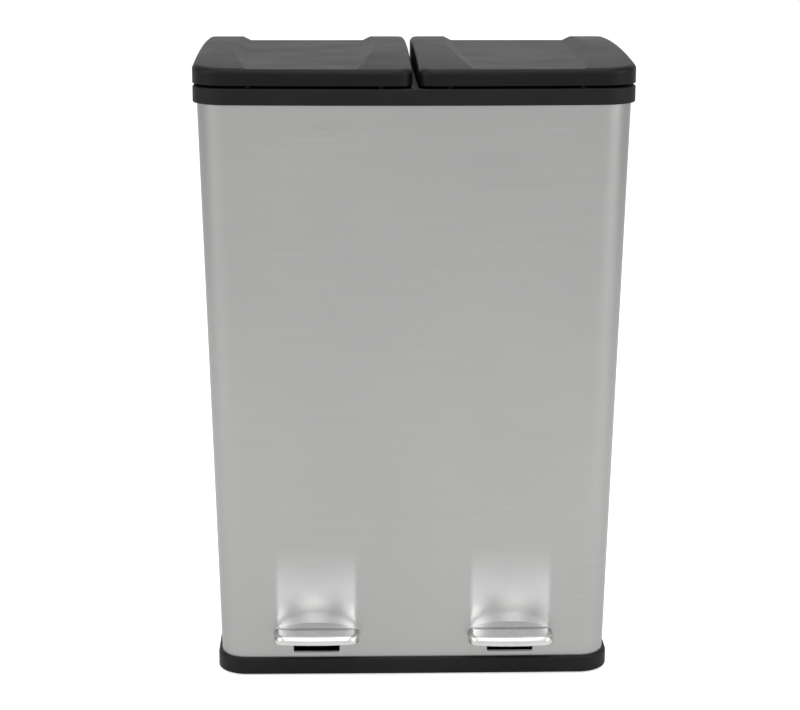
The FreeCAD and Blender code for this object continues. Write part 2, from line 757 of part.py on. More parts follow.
def lid_form(label, inset, drop, foot):
    """The outer form of the right-hand lid, or with an inset and a drop the hollow in it:
    bowed front, four different corners, a crown that is highest behind the middle, and a
    shallow trough that widens towards the back."""
    body = new_body(label)
    side = ["(lid_inner + %s)" % inset, "(half_width - %s)" % inset]
    radius = "(collar_bow - %s)" % inset
    front = ["bow_middle - sqrt(%s ^ 2 - %s ^ 2)" % (radius, x) for x in side]
    back = "lid_back - %s" % inset
    pad(body, outline(body, "XY", foot, [(side[0], front[0], radius), (side[1], front[1]),
                                         (side[1], back), (side[0], back)]),
        "crown_top + lid_edge - (%s)" % foot)
    pocket(body, outline(body, "YZ", "collar_width", [
        ("brow_y", "brow_z - " + drop, "-crown_front_radius"),
        ("knee_y", "knee_z - " + drop, "-crown_radius"),
        ("tail_y", "tail_z - " + drop), ("tail_y", "crown_top + 2 * lid_edge"),
        ("brow_y", "crown_top + 2 * lid_edge")]),
        "2 * collar_width")
    corners = (("lid_inner_corner", side[0], "front + front_bow"),
               ("lid_outer_corner", side[1], "front + front_bow"),
               ("lid_back_corner", side[0], back), ("lid_back_corner", side[1], back))
    for corner, across, along in corners:
        x, y = value(across), value(along)
        round_edges(body, "%s - %s" % (corner, inset), lambda e: upright(e)
                    and abs(e.CenterOfMass.x - x) < 1 and abs(e.CenterOfMass.y - y) < 10)
    sill, seam = value("brow_z - " + drop), value("knee_y")
    round_edges(body, "lid_edge - %s" % inset, lambda e: e.CenterOfMass.z > sill
                and not upright(e) and e.Length > 0.01
                and not (e.BoundBox.YLength < 0.01 and abs(e.CenterOfMass.y - seam) < 0.1))
    spare = "%s * (sqrt(1 + trough_bank ^ 2) - trough_bank)" % drop
    sections = []
    for end, plane in (("front", "lid_edge - front"), ("back", "-lid_back - lid_edge")):
        half = "(trough_%s_width / 2 + %s)" % (end, spare)
        floor = "trough_%s - %s" % (end, drop)
        top = "crown_top + lid_edge"
        wide = "(%s + trough_bank * (%s - (%s)))" % (half, top, floor)
        sections.append(outline(body, "XZ", plane, [
            ("lid_middle - " + half, floor), ("lid_middle + " + half, floor),
            ("lid_middle + " + wide, top), ("lid_middle - " + wide, top)]))
    loft(body, "SubtractiveLoft", *sections)
    return body


def make_lid():
    """Right-hand lid: the outer form hollowed to a wall, with two hinge barrels and a boss
    under its roof for the lug."""
    body = lid_form("right_lid", "0", "0", "lid_foot")
    core = lid_form("lid_core", "lid_wall", "lid_roof", "lid_foot - lid_lift")
    doc.recompute()
    hollow = body.newObject("PartDesign::Boolean", "Hollow")
    hollow.Type = "Cut"
    hollow.setObjects([core])
    knuckles(body, "lid", [
        ("lid_back - lid_wall / 2", "hinge_z"), ("hinge_y - knuckle_radius", "hinge_z",
                                                 "knuckle_radius"),
        ("hinge_y", "hinge_z - knuckle_radius", "knuckle_radius"),
        ("hinge_y + knuckle_radius", "hinge_z", "knuckle_radius"),
        ("hinge_y", "hinge_z + knuckle_radius"),
        ("lid_back - lid_wall / 2", "hinge_z + knuckle_radius")])
    pad(body, outline(body, "XY", "lug_seat", lug_plan()), "boss_depth")
    pilots = pocket(body, discs(body, "XY", "lug_seat", [
        (x, y, "screw_radius + pin_play") for x, y in lug_screw_places()]),
        "boss_depth - lid_roof / 2")
    pilots.Reversed = True
    return keep(body)


def lug_plan():
    return rectangle("rod_x - lug_plate_width / 2", "rod_x + lug_plate_width / 2",
                     "hinge_y - lug_sweep - lug_play", "lug_back")


def lug_screw_places():
    return [("rod_x %s lug_screw_out" % side, "(lug_back + hinge_y - lug_sweep) / 2")
            for side in ("-", "+")]


def make_lug():
    """Right-hand lug, screwed under the lid: the rod's tip pushes on its slanted face."""
    body = new_body("right_lid_lug")
    pad(body, outline(body, "XY", "lug_seat - lug_plate", lug_plan()), "lug_plate")
    faces = []
    for reach in ("lug_face_to", "lug_face_from"):
        faces.append(("hinge_y - %s * cos(half_opening) - tip_off * sin(half_opening)" % reach,
                      "hinge_z - %s * sin(half_opening) + tip_off * cos(half_opening)" % reach))
    high = "lug_seat - lug_plate / 2"
    pad(body, outline(body, "YZ", "rod_x - lug / 2", faces + [
        (faces[1][0], high), ("hinge_y - lug_sweep", high),
        ("hinge_y - lug_sweep", "hinge_z - lug_nose")]), "lug")
    pocket(body, discs(body, "XY", "lug_seat", [
        (x, y, "screw_radius + pin_play") for x, y in lug_screw_places()]), "lug_plate")
    return keep(body)


def make_lug_screws():
    screws = []
    for number, (x, y) in enumerate(lug_screw_places()):
        body = make_screw("lug_screw_%d" % (number + 1), "0")
        set_down(body, x, y, "lug_seat - lug_plate")
        screws.append(body)
    return group("right_lug_screws", screws)


def round_bar(label, start, length, back, up, radius):
    """A round bar that lies along X."""
    body = new_body(label)
    pad(body, discs(body, "YZ", start, [(back, up, radius)]), length)
    return body


def make_hinge_pin():
    reach = "(knuckle_spread / 2 + lid_knuckle / 2 + knuckle_play + end_knuckle)"
    return keep(round_bar("right_hinge_pin", "lid_middle - " + reach, "2 * " + reach,
                          "hinge_y", "hinge_z", "pin_radius"))


def make_lid_buffers():
    """Rubber buttons on the collar's front edge that hold the lids off it."""
    buttons = []
    for hand in ("", "-"):
        for x in ("lid_buffer_inner", "lid_buffer_outer"):
            body = new_body("lid_buffer")
            inset = "(collar_edge + lid_buffer_radius)"
            y = "bow_middle - sqrt((collar_bow - %s) ^ 2 - %s ^ 2)" % (inset, x)
            pad(body, discs(body, "XY", "collar_top", [(hand + x, y, "lid_buffer_radius")]),
                "lid_lift - slack")
            buttons.append(body)
    return group("lid_buffers", buttons)


# ---------------------------------------------------------------- buckets

def make_bucket():
    """Right-hand lift-out bucket: a tapered wall, a rim that rests on the collar's deck and
    two upright finger grips on the rim."""
    body = new_body("right_bucket")
    top, wall = "-bucket_play", " - bucket_wall"
    low = "-(bucket_play + bucket_taper)"
    loft(body, "AdditiveLoft", outline(body, "XY", "bucket_bottom", opening_outline(low)),
         outline(body, "XY", "collar_top", opening_outline(top)))
    pad(body, outline(body, "XY", "collar_top", opening_outline("bucket_rim")),
        "bucket_rim_height")
    loft(body, "SubtractiveLoft",
         outline(body, "XY", "bucket_bottom + bucket_wall", opening_outline(low + wall)),
         outline(body, "XY", "collar_top + bucket_rim_height", opening_outline(top + wall)))
    foot, tip = "collar_top + bucket_rim_height / 2", "collar_top + bucket_rim_height"
    grip = [("-grip_width / 2", foot), ("grip_width / 2", foot),
            ("grip_width / 2", tip, "grip_height"),
            ("grip_width / 2 - grip_height", tip + " + grip_height"),
            ("grip_height - grip_width / 2", tip + " + grip_height", "grip_height"),
            ("-grip_width / 2", tip)]
    for start in ("opening_inner - bucket_rim / 2", "opening_outer + bucket_rim / 2 - skirt"):
        pad(body, outline(body, "YZ", start, grip), "skirt")
    return keep(body)


# ---------------------------------------------------------------- pedals and levers

def make_pedal_plate(label, droop):
    """Stamped steel pedal over the right-hand slot: a flat top with a rolled lip round its
    front and sides, hollow below."""
    body = new_body(label)
    bow = "(((pedal_width / 2) ^ 2 + pedal_front_bow ^ 2) / (2 * pedal_front_bow) - (%s))"

    def plate(inset, back):
        side = "(pedal_width / 2 - (%s))" % inset
        start, finish = bowed_front(side, "(%s - pedal_reach)" % inset, bow % inset,
                                    "(pedal_corner - (%s))" % inset)
        return start + [(side, back), ("-" + side, back)] + finish

    pad(body, outline(body, "XY", "-pedal_height", plate("0", "0")), "pedal_height")
    round_edges(body, "pedal_roll", lambda e: abs(e.CenterOfMass.z) < 0.01
                and e.BoundBox.ZLength < 0.01 and e.CenterOfMass.y < -0.1)
    pocket(body, outline(body, "XY", "-pedal_sheet", plate("pedal_wall", "pedal_sheet")),
           "pedal_height")
    set_down(body, "pedal_x", "ledge_y - pedal_gap", "pedal_top", droop)
    return body


def make_lever(label, droop):
    """Pressed channel lever of the right-hand pedal: a wide tongue that carries the pedal
    through the slot, a web, and two flanges bored for the axle. The outer flange has a
    slotted hole for the rod's hook."""
    body = new_body(label)
    bend = "(ledge_y - pedal_gap + pedal_sheet * tan(%s / 2))" % droop
    nose = "(ledge_y - pedal_gap - pedal_reach * tongue_reach)"
    top = [(nose, "tongue_z - (%s - %s) * tan(%s)" % (bend, nose, droop)),
           (bend, "tongue_z"), ("-tongue_back", "tongue_z"),
           ("axle_y - web_knee", "web_top"), ("lever_back", "hook_height + flange_drop")]
    under = [(y, z + " - lever_sheet") for y, z in top]
    pad(body, outline(body, "YZ", "pedal_x - lever_width / 2", under + top[::-1]),
        "lever_width")
    pad(body, outline(body, "YZ", "pedal_x - tongue_width / 2", under[:3] + top[2::-1]),
        "tongue_width")
    flange = [("-tongue_back", "tongue_z - lever_sheet"),
              ("axle_y - web_knee", "axle_height - flange_drop"),
              ("axle_y + web_knee", "axle_height - flange_drop - lever_sheet"),
              ("lever_back", "hook_height - flange_drop"),
              ("lever_back", "hook_height + flange_drop - lever_sheet / 2"),
              ("axle_y - web_knee", "web_top - lever_sheet / 2"),
              ("-tongue_back", "tongue_z - lever_sheet / 2")]
    for start in ("pedal_x - lever_width / 2", "pedal_x + lever_width / 2 - lever_sheet"):
        pad(body, outline(body, "YZ", start, flange), "lever_sheet")
    pocket(body, discs(body, "YZ", "pedal_x + lever_width", [
        ("axle_y", "axle_height", "bush_radius + axle_play")]), "2 * lever_width")
    pocket(body, outline(body, "YZ", "pedal_x + lever_width / 2", obround(
        "rod_y - hook_slip", "rod_y + hook_slip", "hook_height", "rod_radius + hook_play")),
        "lever_sheet")
    return body


def make_bushes():
    """Two flanged bushes between the right-hand lever's flanges and its axle."""
    bushes = []
    for number, (start, rim) in enumerate((
            ("pedal_x - lever_width / 2", "pedal_x - lever_width / 2 - bush_collar_height"),
            ("pedal_x + lever_width / 2 - lever_sheet", "pedal_x + lever_width / 2"))):
        body = new_body("bush_%d" % (number + 1))
        bore = ("axle_y", "axle_height", "axle_radius + axle_play")
        pad(body, discs(body, "YZ", start, [("axle_y", "axle_height", "bush_radius"), bore]),
            "lever_sheet")
        pad(body, discs(body, "YZ", rim, [
            ("axle_y", "axle_height", "bush_radius + bush_collar"), bore]),
            "bush_collar_height")
        bushes.append(body)
    return group("right_lever_bushes", bushes)


def make_axle_clips():
    """Push-on washers that hold the axles in their ears."""
    clips = []
    for start in ("pedal_x + ear_outer", "pedal_x - ear_outer - clip",
                  "-pedal_x + ear_outer", "-pedal_x - ear_outer - clip"):
        body = new_body("axle_clip")
        pad(body, discs(body, "YZ", start, [("axle_y", "axle_height", "clip_radius"),
                                            ("axle_y", "axle_height", "axle_radius")]), "clip")
        clips.append(body)
    return group("axle_clips", clips)


def make_lever_buffers():
    """Rubber posts on the base that the backs of the levers rest on."""
    posts = []
    fall = "(web_top - hook_height - flange_drop) / (lever_back - axle_y + web_knee)"
    top = "web_top - (%s) * (buffer_back + buffer_radius - axle_y + web_knee)" % fall
    for hand in ("", "-"):
        body = new_body("lever_buffer")
        pad(body, discs(body, "XY", "seat", [(hand + "pedal_x", "buffer_back",
                                              "buffer_radius")]),
            top + " - lever_sheet - slack - seat")
        posts.append(body)
    return group("lever_buffers", posts)


# ---------------------------------------------------------------- push rods

def lean_back(body):
    """Sets a piece of the right-hand rod down at the rod's hook, leaning with the wall."""
    set_down(body, "rod_x", "rod_y", "hook_height", "-atan(lean)")
    return body


def make_rod():
    """Right-hand push rod: one wire up the back of the shell, hooked into the lever."""
    body = new_body("right_push_rod")
    spine = new_sketch(body, "XZ", "0")
    corners = [("-hook_reach", "0"), ("-rod_bend", "0"), ("0", "rod_bend"),
               ("0", "rod_length - tip_radius / 2")]
    ends = [Vector(value(x), value(z), 0) for x, z in corners]
    pieces = [spine.addGeometry(Part.LineSegment(ends[0], ends[1])),
              spine.addGeometry(arc_between(ends[1], ends[2], value("rod_bend"))),
              spine.addGeometry(Part.LineSegment(ends[2], ends[3]))]
    for first, second in zip(pieces, pieces[1:]):
        spine.addConstraint(Sketcher.Constraint("Coincident", first, END, second, START))
    for number, (x, z) in zip(pieces, corners):
        hold(spine, number, START, x, z)
    hold(spine, pieces[-1], END, *corners[-1])
    bend = spine.addConstraint(Sketcher.Constraint("Radius", pieces[1], value("rod_bend")))
    spine.setExpression("Constraints[%d]" % bend, full("rod_bend"))
    wire = body.newObject("PartDesign::AdditivePipe", "Wire")
    wire.Profile = discs(body, "YZ", "-hook_reach", [("0", "0", "rod_radius")])
    wire.Spine = (spine, ["Edge1", "Edge2", "Edge3"])
    body.Tip = wire
    return keep(lean_back(body))


def make_rod_tip():
    """Moulded cap on the top of the right-hand rod, with a domed end."""
    body = new_body("right_rod_tip")
    revolve(body, outline(body, "XZ", "0", [
        ("rod_radius", "rod_length - tip_length"), ("tip_radius", "rod_length - tip_length"),
        ("tip_radius", "rod_length", "tip_radius"), ("0", "rod_length + tip_radius"),
        ("0", "rod_length - tip_radius / 2"),
        ("rod_radius", "rod_length - tip_radius / 2")]))
    return keep(lean_back(body))


def make_guides():
    """Two moulded guides on the back wall that the right-hand rod slides in, and the rivets
    that hold them through the shell."""
    guides, rivets = [], []
    for name, level in (("low", "guide_low"), ("high", "guide_high")):
        guide = new_body("guide_" + name)
        pad(guide, outline(guide, "XY", "%s - guide_height / 2" % level, rounded_rectangle(
            "(-guide_width / 2)", "(guide_width / 2)", "(wall_gap - guide_depth)",
            "wall_gap", "rod_radius")), "guide_height")
        pocket(guide, discs(guide, "XY", "%s + guide_height" % level, [
            ("0", "0", "rod_radius + guide_play")]), "2 * guide_height")
        rivet_lines = [(x + "guide_rivet_out", level, "rivet_radius + slack")
                       for x in ("", "-")]
        pocket(guide, discs(guide, "XZ", "guide_depth", rivet_lines), "2 * guide_depth")
        guides.append(lean_back(guide))
        for x in ("", "-"):
            rivet = new_body("rivet_" + name)
            front = "guide_depth - wall_gap"
            pad(rivet, discs(rivet, "XZ", "-wall_out", [
                (x + "guide_rivet_out", level, "rivet_radius")]),
                "guide_depth - wall_gap + wall_out")
            for start in (front, "-wall_out - rivet_head_height"):
                pad(rivet, discs(rivet, "XZ", start, [
                    (x + "guide_rivet_out", level, "rivet_head")]), "rivet_head_height")
            rivets.append(lean_back(rivet))
    group("right_rod_guides", guides)
    return group("right_guide_rivets", rivets)


# ---------------------------------------------------------------- assembly

def make_all():
    """Builds every sub-part: the single ones, then the right-hand ones and their mirrors."""
    make_shell()
    make_collar()
    make_base()
    make_feet()
    make_base_screws()
    make_lid_buffers()
    make_axle_clips()
    make_lever_buffers()
    keep(make_pedal_plate("right_pedal_plate", "right_pedal_droop"))
    keep(make_lever("right_lever", "right_pedal_droop"))
    mirror(make_pedal_plate("pedal_form", "left_pedal_droop"), "left_pedal_plate")
    mirror(make_lever("lever_form", "left_pedal_droop"), "left_lever")
    keep(round_bar("right_axle", "pedal_x - ear_outer - clip - slack",
                   "2 * (ear_outer + clip + slack)", "axle_y", "axle_height", "axle_radius"))
    make_lid()
    make_lug()
    make_lug_screws()
    make_hinge_pin()
    make_bucket()
    make_bushes()
    make_rod()
    make_rod_tip()
    make_guides()
    for name in ("lid", "lid_lug", "lug_screws", "hinge_pin", "bucket", "lever_bushes", "axle",
                 "push_rod", "rod_tip", "rod_guides", "guide_rivets"):
        mirror(nodes["right_" + name], "left_" + name)
    doc.recompute()


def check_all():
    """Stops if any object failed, or if a sub-part's shape is null or not valid."""
    for item in doc.Objects:
        if "Invalid" in item.State or "Error" in item.State:
            raise RuntimeError("%s failed: %s" % (item.Name, item.State))
    for label, item in nodes.items():
        if item.Shape.isNull() or not item.Shape.isValid() or item.Shape.Volume <= 0:
            raise RuntimeError("%s has no valid shape" % label)


def export_all():
    os.makedirs("parts", exist_ok=True)
    for label, item in sorted(nodes.items()):
        item.Shape.exportStep("parts/%s.step" % label)
        box = item.Shape.optimalBoundingBox(False, False)
        print("%-20s %2d solids %9.2f cm3  x %7.1f %7.1f  y %7.1f %7.1f  z %6.1f %6.1f" % (
            label, len(item.Shape.Solids), item.Shape.Volume / 1000, box.XMin, box.XMax,
            box.YMin, box.YMax, box.ZMin, box.ZMax))


make_all()
check_all()
export_all()
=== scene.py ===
"""Double recycling bin in a photo studio.

The bin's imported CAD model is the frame. This script dresses it: every CAD node gets a
procedural finish, and the brushed shell and the two pedal plates are replaced by finer
surfaces worked out with numpy. Lengths in this file are millimetres unless a name or
comment says otherwise, and meshes are written in metres.
"""
import bpy
import json
import logging
import math
from dataclasses import dataclass, field
from enum import Enum
from typing import Callable, Iterable, Sequence

import numpy as np
from mathutils import Matrix


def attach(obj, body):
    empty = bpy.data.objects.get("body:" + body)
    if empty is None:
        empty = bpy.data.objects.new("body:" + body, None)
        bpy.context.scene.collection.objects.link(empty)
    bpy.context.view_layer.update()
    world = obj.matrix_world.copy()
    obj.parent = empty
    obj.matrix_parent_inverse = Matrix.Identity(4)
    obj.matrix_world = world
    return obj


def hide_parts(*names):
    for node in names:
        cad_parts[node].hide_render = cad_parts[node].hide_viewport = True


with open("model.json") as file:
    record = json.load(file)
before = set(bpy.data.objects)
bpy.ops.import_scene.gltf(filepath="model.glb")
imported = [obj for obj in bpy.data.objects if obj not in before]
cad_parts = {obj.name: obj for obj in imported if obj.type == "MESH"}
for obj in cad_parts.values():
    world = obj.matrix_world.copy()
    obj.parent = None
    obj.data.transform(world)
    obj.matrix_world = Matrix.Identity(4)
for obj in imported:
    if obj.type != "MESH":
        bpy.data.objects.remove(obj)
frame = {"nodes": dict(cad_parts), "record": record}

LOG = logging.getLogger("bin")
MM = 0.001
PEDAL_AT = 104.5  # how far each pedal and its scoop lie from the middle of the bin


# ------------------------------------------------------------------ small tools

class Side(Enum):
    """A hand of the bin, seen from the front; its value is the sign of X."""

    LEFT = -1
    RIGHT = 1

    @property
    def word(self) -> str:
        """The word that node and body names start with."""
        return self.name.lower()


def new_object(name: str, points: np.ndarray, faces: Sequence[Sequence[int]],
               crease: float = 40.0) -> bpy.types.Object:
    """Makes a mesh object at the origin.

    Args:
        name: The object's name.
        points: Vertex places, (N, 3), in millimetres.
        faces: Corner indices of each face, turning left seen from outside.
        crease: Edges that fold more than this many degrees are drawn sharp.

    Returns:
        The linked object, shaded smooth between its creases.
    """
    mesh = bpy.data.meshes.new(name)
    mesh.from_pydata((np.asarray(points, dtype=float) * MM).tolist(), [], faces)
    mesh.polygons.foreach_set("use_smooth", np.ones(len(mesh.polygons), dtype=bool))
    mesh.validate()
    mesh.set_sharp_from_angle(angle=math.radians(crease))
    mesh.update()
    thing = bpy.data.objects.new(name, mesh)
    bpy.context.scene.collection.objects.link(thing)
    return thing


def grid_faces(rows: int, columns: int, around: bool, start: int = 0,
               keep: np.ndarray | None = None) -> list[list[int]]:
    """Quads of a grid of vertices, turning left when columns run left to right and rows up.

    Args:
        rows: Number of vertex rows.
        columns: Number of vertices in a row.
        around: True if the last column joins the first.
        start: Index of the grid's first vertex.
        keep: Mask of the quads to keep, (rows - 1, quads in a row).

    Returns:
        Four corner indices for each quad.
    """
    index = np.arange(rows * columns).reshape(rows, columns) + start
    right = np.roll(index, -1, axis=1) if around else index[:, 1:]
    left = index if around else index[:, :-1]
    quads = np.stack([left[:-1], right[:-1], right[1:], left[1:]], axis=-1)
    if keep is not None:
        return quads[keep].tolist()
    return quads.reshape(-1, 4).tolist()


def solidify(thing: bpy.types.Object, wall: float) -> None:
    """Gives an open surface a wall that grows inwards from it."""
    modifier = thing.modifiers.new("Wall", "SOLIDIFY")
    modifier.thickness = wall * MM
    modifier.offset = -1
    modifier.use_even_offset = True


def finish_piece(thing: bpy.types.Object, body: str, slot: str, material: bpy.types.Material,
                 *nodes: str) -> bpy.types.Object:
    """Rides a piece on its body, gives it its finish and hides the nodes that it replaces."""
    thing.data.materials.append(material)
    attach(thing, body)
    if nodes:
        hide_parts(*nodes)
    LOG.info("%s: %d faces on %s", thing.name, len(thing.data.polygons), body)
    return thing


@dataclass(frozen=True)
class Plan:
    """A plan with a bowed front, straight sides and back, and four round corners."""

    side: float
    front: float
    back: float
    bow: float
    corner: float

    def inset(self, distance: float) -> "Plan":
        """The same plan set in all round by a distance."""
        return Plan(self.side - distance, self.front + distance, self.back - distance,
                    self.bow - distance, self.corner - distance)

    def points(self, across: np.ndarray, turn: int = 14, run: int = 10) -> np.ndarray:
        """The plan as one loop that turns left, from the left end of the bowed front.

        The front and the corners are arcs, centre + radius (cos a, sin a), which meet the
        sides and the back without a kink.

        Args:
            across: Rising fractions 0 to 1 at which the front is sampled.
            turn: Steps in each corner.
            run: Steps along each side and the back.

        Returns:
            Points, (N, 2).
        """
        inner = self.side - self.corner
        middle = self.front + self.bow
        half = math.asin(inner / (self.bow - self.corner))
        level = middle - math.sqrt((self.bow - self.corner) ** 2 - inner ** 2)
        rear = self.back - self.corner

        def arc(x: float, y: float, radius: float, angles: np.ndarray) -> np.ndarray:
            return np.column_stack([x + radius * np.cos(angles), y + radius * np.sin(angles)])

        quarter = math.pi / 2
        steps = np.linspace(0, 1, turn + 1)[1:-1]
        line = np.linspace(0, 1, run + 1)[:, None]
        front = arc(0, middle, self.bow, -quarter + half * (2 * across - 1))
        right = arc(inner, level, self.corner, (half - quarter) * (1 - steps))
        up = np.array([self.side, level]) * (1 - line) + np.array([self.side, rear]) * line
        back_right = arc(inner, rear, self.corner, quarter * steps)
        over = np.array([inner, self.back]) * (1 - line) + np.array([-inner, self.back]) * line
        mirror = np.array([-1, 1])
        return np.vstack([front, right, up, back_right, over,
                          (back_right * mirror)[::-1], (up * mirror)[::-1],
                          (right * mirror)[::-1]])


# ------------------------------------------------------------------ node graphs

class Graph:
    """A short way to write a node tree."""

    def __init__(self, tree: bpy.types.NodeTree) -> None:
        """Starts on an emptied tree."""
        self.tree = tree
        tree.nodes.clear()

    def add(self, kind: str, settings: dict | None = None, **inputs: object) -> bpy.types.Node:
        """Adds a node.

        Args:
            kind: The node's type name without its ShaderNode start.
            settings: Properties to set on the node.
            inputs: Values or outputs for its sockets; underscores stand for spaces, and
                i0, i1 and so on name a socket by its place.

        Returns:
            The node.
        """
        node = self.tree.nodes.new(kind if kind.startswith("Node") else "ShaderNode" + kind)
        for name, value in (settings or {}).items():
            setattr(node, name, value)
        for name, value in inputs.items():
            numbered = name[0] == "i" and name[1:].isdigit()
            socket = node.inputs[int(name[1:])] if numbered else node.inputs[name.replace("_", " ")]
            if isinstance(value, bpy.types.NodeSocket):
                self.tree.links.new(value, socket)
            else:
                socket.default_value = value
        return node

    def maths(self, operation: str, *values: object) -> bpy.types.NodeSocket:
        """A Math node's result."""
        inputs = {"i%d" % n: value for n, value in enumerate(values)}
        return self.add("Math", {"operation": operation}, **inputs).outputs[0]

    def ramp(self, value: bpy.types.NodeSocket, low: float, high: float, start: float = 0.0,
             end: float = 1.0) -> bpy.types.NodeSocket:
        """Maps low..high smoothly onto start..end."""
        node = self.add("MapRange", {"interpolation_type": "SMOOTHSTEP"}, Value=value)
        for name, number in (("From Min", low), ("From Max", high), ("To Min", start),
                             ("To Max", end)):
            node.inputs[name].default_value = number
        return node.outputs["Result"]

    def mix(self, amount: object, first: object, second: object) -> bpy.types.NodeSocket:
        """A colour between two colours."""
        node = self.add("Mix", {"data_type": "RGBA"})
        for place, value in ((0, amount), (6, first), (7, second)):
            if isinstance(value, bpy.types.NodeSocket):
                self.tree.links.new(value, node.inputs[place])
            else:
                node.inputs[place].default_value = value
        return node.outputs[2]

    def object_place(self, scale: Sequence[float] = (1, 1, 1)) -> bpy.types.NodeSocket:
        """Object coordinates, stretched."""
        place = self.add("TexCoord").outputs["Object"]
        return self.add("Mapping", Vector=place, Scale=scale).outputs["Vector"]

    def noise(self, place: bpy.types.NodeSocket, scale: object, detail: float = 3.0,
              roughness: float = 0.5) -> bpy.types.NodeSocket:
        """Noise between 0 and 1."""
        return self.add("TexNoise", Vector=place, Scale=scale, Detail=detail,
                        Roughness=roughness).outputs["Fac"]


def grey(level: float) -> tuple[float, float, float, float]:
    """An opaque grey."""
    return (level, level, level, 1.0)


class Effect:
    """A shader node group that several finishes share."""

    made: dict[str, bpy.types.NodeTree] = {}

    @classmethod
    def group(cls, name: str, inputs: dict[str, float], outputs: Iterable[str],
              build: Callable[[Graph, dict], dict]) -> bpy.types.NodeTree:
        """Makes the group once.

        Args:
            name: The group's name.
            inputs: Input names with their usual values.
            outputs: Output names.
            build: Fills the graph; takes it and the input sockets, gives the outputs.

        Returns:
            The node group.
        """
        if name in cls.made:
            return cls.made[name]
        tree = bpy.data.node_groups.new(name, "ShaderNodeTree")
        for word, value in inputs.items():
            socket = tree.interface.new_socket(name=word, in_out="INPUT",
                                               socket_type="NodeSocketFloat")
            socket.default_value = value
        for word in outputs:
            tree.interface.new_socket(name=word, in_out="OUTPUT",
                                      socket_type="NodeSocketFloat")
        graph = Graph(tree)
        entry = graph.add("NodeGroupInput")
        results = build(graph, {word: entry.outputs[word] for word in inputs})
        leave = graph.add("NodeGroupOutput")
        for word, socket in results.items():
            tree.links.new(socket, leave.inputs[word])
        cls.made[name] = tree
        return tree

    @classmethod
    def brushing(cls) -> bpy.types.NodeTree:
        """Brushed lines: noise stretched about a hundred times, in two sizes. A larger
        Upright scale draws level lines, and a larger Level scale draws upright ones."""
        def build(graph: Graph, given: dict) -> dict:
            place = graph.add("TexCoord").outputs["Object"]
            split = graph.add("SeparateXYZ", Vector=place)
            layers = []
            for share in (1.0, 0.31):
                level = graph.maths("MULTIPLY", given["Level"], share)
                upright = graph.maths("MULTIPLY", given["Upright"], share)
                joined = graph.add("CombineXYZ",
                                   X=graph.maths("MULTIPLY", split.outputs["X"], level),
                                   Y=graph.maths("MULTIPLY", split.outputs["Y"], level),
                                   Z=graph.maths("MULTIPLY", split.outputs["Z"], upright))
                layers.append(graph.noise(joined.outputs["Vector"], 1.0, 2.0, 0.6))
            both = graph.maths("ADD", graph.maths("MULTIPLY", layers[0], 0.6),
                               graph.maths("MULTIPLY", layers[1], 0.4))
            return {"Lines": both}
        return cls.group("Brushed lines", {"Level": 14.0, "Upright": 1500.0}, ["Lines"], build)

    @classmethod
    def texture(cls) -> bpy.types.NodeTree:
        """The fine spark texture of a mould, with a slow drift of tone over it."""
        def build(graph: Graph, given: dict) -> dict:
            place = graph.add("TexCoord").outputs["Object"]
            grain = graph.noise(place, given["Grain"], 2.0, 0.6)
            pits = graph.add("TexVoronoi", {"feature": "SMOOTH_F1"}, Vector=place,
                             Scale=given["Grain"]).outputs["Distance"]
            height = graph.maths("ADD", graph.maths("MULTIPLY", grain, 0.7),
                                 graph.maths("MULTIPLY", pits, 0.3))
            return {"Height": height, "Drift": graph.noise(place, given["Drift"], 3.0, 0.6)}
        return cls.group("Mould texture", {"Grain": 1400.0, "Drift": 14.0},
                         ["Height", "Drift"], build)

    @classmethod
    def dust(cls) -> bpy.types.NodeTree:
        """Where faint dust settles: on faces that look up, in soft patches."""
        def build(graph: Graph, given: dict) -> dict:
            up = graph.add("SeparateXYZ", Vector=graph.add("NewGeometry").outputs["Normal"])
            facing = graph.ramp(up.outputs["Z"], 0.5, 1.0)
            patches = graph.noise(graph.object_place(), given["Patches"], 5.0, 0.65)
            soft = graph.ramp(patches, 0.35, 0.75)
            mask = graph.maths("MULTIPLY", graph.maths("MULTIPLY", facing, soft),
                               given["Amount"])
            return {"Mask": mask}
        return cls.group("Settled dust", {"Patches": 20.0, "Amount": 0.3}, ["Mask"], build)

    @staticmethod
    def place(graph: Graph, tree: bpy.types.NodeTree, **inputs: object) -> bpy.types.Node:
        """Puts a group into a material's graph."""
        node = graph.tree.nodes.new("ShaderNodeGroup")
        node.node_tree = tree
        for name, value in inputs.items():
            node.inputs[name].default_value = value
        return node


# ------------------------------------------------------------------ finishes

